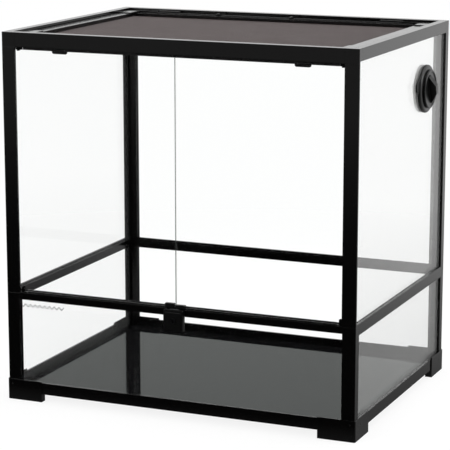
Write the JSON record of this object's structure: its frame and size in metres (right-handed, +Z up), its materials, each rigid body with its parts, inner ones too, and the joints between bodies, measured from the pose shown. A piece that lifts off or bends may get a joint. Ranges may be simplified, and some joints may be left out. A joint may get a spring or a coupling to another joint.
{
  "type": "reptile terrarium",
  "caption": "Front-opening glass reptile terrarium in a black plastic frame, with hinged glass doors, a key latch, a lift-off screen lid and a twist-lock side port.",
  "frame": {"origin": "centre of the rectangle the four feet stand on, at ground height", "axes": "+X to the right seen from the door side, +Y to the back away from the doors, +Z up"},
  "size_m": [0.6149, 0.4584, 0.6],
  "materials": {
    "black_plastic": "satin",
    "lid_plastic": "satin",
    "satin_plastic": "satin",
    "glass": "clear",
    "floor_glass": "gloss",
    "screen": "satin",
    "lock_metal": "gloss",
    "bolt_steel": "satin"
  },
  "bodies": {
    "tank": {"floor_panel": "floor_glass", "base_rail_front": "black_plastic", "base_rail_back": "black_plastic", "base_rail_left": "black_plastic", "base_rail_right": "black_plastic", "foot_front_left": "black_plastic", "foot_front_right": "black_plastic", "foot_back_left": "black_plastic", "foot_back_right": "black_plastic", "lower_post_front_left": "black_plastic", "lower_post_front_right": "black_plastic", "lower_post_back_left": "black_plastic", "lower_post_back_right": "black_plastic", "lower_pane_front": "glass", "lower_pane_back": "glass", "lower_pane_left": "glass", "lower_pane_right": "glass", "door_sill": "black_plastic", "mid_rail_back": "black_plastic", "mid_rail_left": "black_plastic", "mid_rail_right": "black_plastic", "upper_post_front_left": "black_plastic", "upper_post_front_right": "black_plastic", "upper_post_back_left": "black_plastic", "upper_post_back_right": "black_plastic", "upper_pane_back": "glass", "upper_pane_left": "glass", "upper_pane_right": "glass", "top_rail_front": "black_plastic", "top_rail_back": "black_plastic", "top_rail_left": "black_plastic", "top_rail_right": "black_plastic", "top_corners": "black_plastic", "lid_seat_front": "black_plastic", "lid_seat_back": "black_plastic", "latch_housing": "satin_plastic", "port_flange": "satin_plastic", "port_nut": "satin_plastic"},
    "door_left": {"door_glass_left": "glass", "hinge_shoes_left": "satin_plastic", "door_catch_left": "satin_plastic"},
    "door_right": {"door_glass_right": "glass", "hinge_shoes_right": "satin_plastic", "door_catch_right": "satin_plastic"},
    "lock": {"lock_cylinder": "lock_metal"},
    "bolt": {"latch_bolt": "bolt_steel"},
    "lid": {"lid_rail_front": "lid_plastic", "lid_rail_back": "lid_plastic", "lid_rail_left": "lid_plastic", "lid_rail_right": "lid_plastic", "lid_corners": "lid_plastic", "lid_screen": "screen"},
    "clip_front_left": {"lid_clip_front_left": "satin_plastic"},
    "clip_front_right": {"lid_clip_front_right": "satin_plastic"},
    "clip_back_left": {"lid_clip_back_left": "satin_plastic"},
    "clip_back_right": {"lid_clip_back_right": "satin_plastic"},
    "shutter_left": {"shutter_left": "satin_plastic"},
    "shutter_right": {"shutter_right": "satin_plastic"},
    "port_cap": {"port_cap": "satin_plastic"}
  },
  "joints": [
    {"name": "door_left_open", "type": "hinge", "parent": "tank", "child": "door_left", "pos_m": [-0.2718, -0.2174, 0.38], "axis": [0, 0, -1], "range_deg": [0, 100]},
    {"name": "door_right_open", "type": "hinge", "parent": "tank", "child": "door_right", "pos_m": [0.2718, -0.2174, 0.38], "axis": [0, 0, 1], "range_deg": [0, 100]},
    {"name": "lock_turn", "type": "hinge", "parent": "tank", "child": "lock", "pos_m": [0, -0.2284, 0.162], "axis": [0, -1, 0], "range_deg": [0, 90]},
    {"name": "bolt_lift", "type": "slide", "parent": "tank", "child": "bolt", "axis": [0, 0, 1], "range_m": [0, 0.005]},
    {"name": "lid_lift", "type": "slide", "parent": "tank", "child": "lid", "axis": [0, 0, 1], "range_m": [0, 0.15]},
    {"name": "clip_front_left_slide", "type": "slide", "parent": "lid", "child": "clip_front_left", "axis": [1, 0, 0], "range_m": [0, 0.008]},
    {"name": "clip_front_right_slide", "type": "slide", "parent": "lid", "child": "clip_front_right", "axis": [-1, 0, 0], "range_m": [0, 0.008]},
    {"name": "clip_back_left_slide", "type": "slide", "parent": "lid", "child": "clip_back_left", "axis": [1, 0, 0], "range_m": [0, 0.008]},
    {"name": "clip_back_right_slide", "type": "slide", "parent": "lid", "child": "clip_back_right", "axis": [-1, 0, 0], "range_m": [0, 0.008]},
    {"name": "shutter_left_slide", "type": "slide", "parent": "lid", "child": "shutter_left", "axis": [-1, 0, 0], "range_m": [0, 0.05]},
    {"name": "shutter_right_slide", "type": "slide", "parent": "lid", "child": "shutter_right", "axis": [1, 0, 0], "range_m": [0, 0.05]},
    {"name": "port_cap_turn", "type": "hinge", "parent": "tank", "child": "port_cap", "pos_m": [0.2987, 0.111, 0.4995], "axis": [1, 0, 0], "range_deg": [0, 90]}
  ],
  "couplings": [
    {"joint": "lock_turn", "follows": "bolt_lift", "rad_per_m": 314.16}
  ]
}
